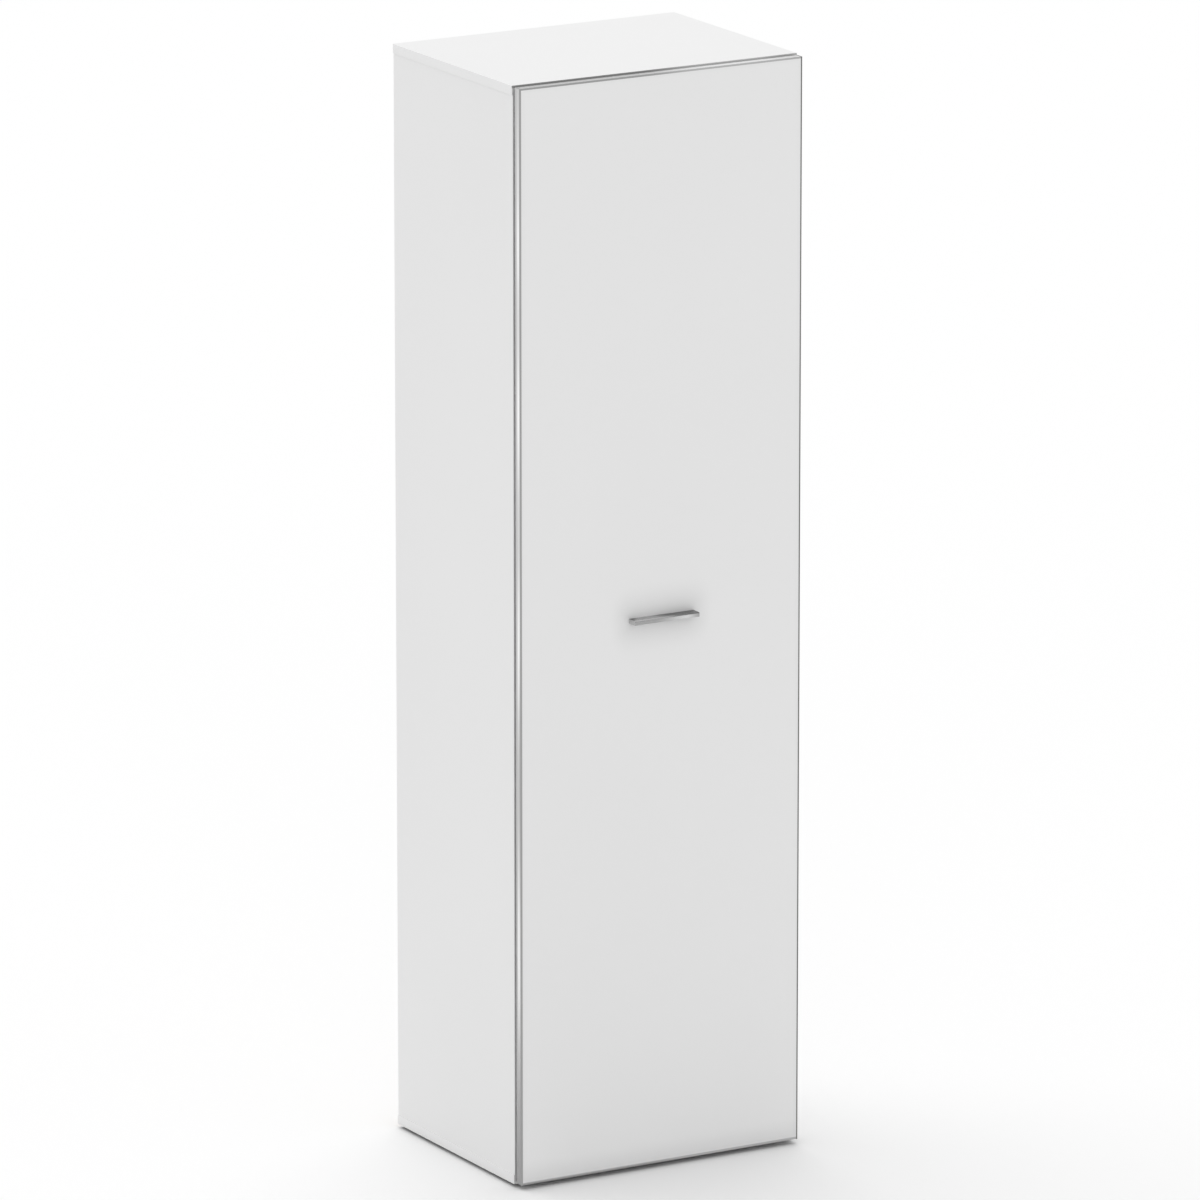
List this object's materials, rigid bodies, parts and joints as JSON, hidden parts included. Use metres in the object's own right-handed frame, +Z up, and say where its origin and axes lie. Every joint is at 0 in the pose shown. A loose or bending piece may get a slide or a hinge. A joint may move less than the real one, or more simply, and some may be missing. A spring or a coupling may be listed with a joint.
{
  "type": "broom cupboard",
  "caption": "Tall white single-door broom cupboard: metal-edged overlay door on concealed hinges, short metal lip pull, broom bay, shelf bay and hat shelf inside.",
  "frame": {"origin": "on the floor, in the middle of the overall footprint (pull included)", "axes": "+Z up, front with the door faces -Y, +X to the right of someone who faces the door, hinges on the +X side"},
  "size_m": [0.54, 0.441, 1.872],
  "materials": {
    "white_board": "white melamine-faced chipboard, satin",
    "door_board": "white melamine-faced chipboard, smooth satin",
    "white_band": "white edge band",
    "hardboard": "thin hardboard painted white, thinly on the rear",
    "white_plastic": "moulded white plastic",
    "edge_metal": "satin aluminium edge strip",
    "pull_metal": "polished metal with a light grain",
    "hinge_steel": "nickel-plated pressed steel",
    "screw_steel": "zinc-plated steel",
    "zinc": "die-cast zinc",
    "spring_steel": "plated spring steel",
    "dowel_beech": "raw beech",
    "glide_plastic": "hard plastic foot",
    "magnet": "ferrite",
    "bumper": "soft clear dot"
  },
  "bodies": {
    "cabinet": {"left_side": "white_board", "right_side": "white_board", "top_plate": "white_board", "bottom_plate": "white_board", "hat_shelf": "white_board", "divider": "white_board", "front_edge_bands": "edge_metal", "white_edge_bands": "white_band", "back_upper": "hardboard", "back_lower": "hardboard", "back_joiner": "white_plastic", "shelf_supports": "hinge_steel", "broom_rail": "white_board", "broom_clips": "spring_steel", "broom_clip_screws": "screw_steel", "dowels": "dowel_beech", "cam_bolts": "screw_steel", "cam_locks": "zinc", "cam_caps": "white_plastic", "floor_glides": "glide_plastic", "hinge_plate_screws": "screw_steel", "hinge_clamp_screws": "screw_steel", "hinge_adjust_screws": "screw_steel", "catch_housing": "white_plastic", "catch_magnet": "magnet", "catch_screws": "screw_steel", "wall_brackets": "hinge_steel", "wall_bracket_screws": "screw_steel", "shelf_lower": "white_board", "shelf_middle": "white_board", "shelf_upper": "white_board", "hinge_plate_1": "hinge_steel", "hinge_arm_1": "hinge_steel", "hinge_plate_2": "hinge_steel", "hinge_arm_2": "hinge_steel", "hinge_plate_3": "hinge_steel", "hinge_arm_3": "hinge_steel", "hinge_plate_4": "hinge_steel", "hinge_arm_4": "hinge_steel"},
    "door": {"hinge_pins": "hinge_steel", "hinge_cup_screws": "screw_steel", "catch_strike": "hinge_steel", "strike_screw": "screw_steel", "door_panel": "door_board", "door_handle": "pull_metal", "handle_screws": "screw_steel", "door_bumpers": "bumper", "door_edge_left": "edge_metal", "door_edge_right": "edge_metal", "door_edge_top": "edge_metal", "door_edge_bottom": "edge_metal", "hinge_cup_1": "hinge_steel", "hinge_cup_2": "hinge_steel", "hinge_cup_3": "hinge_steel", "hinge_cup_4": "hinge_steel"}
  },
  "joints": [
    {"name": "door_swing", "type": "hinge", "parent": "cabinet", "child": "door", "pos_m": [0.259, -0.193, 0.11088], "axis": [0, 0, 1], "range_deg": [0, 95]}
  ]
}
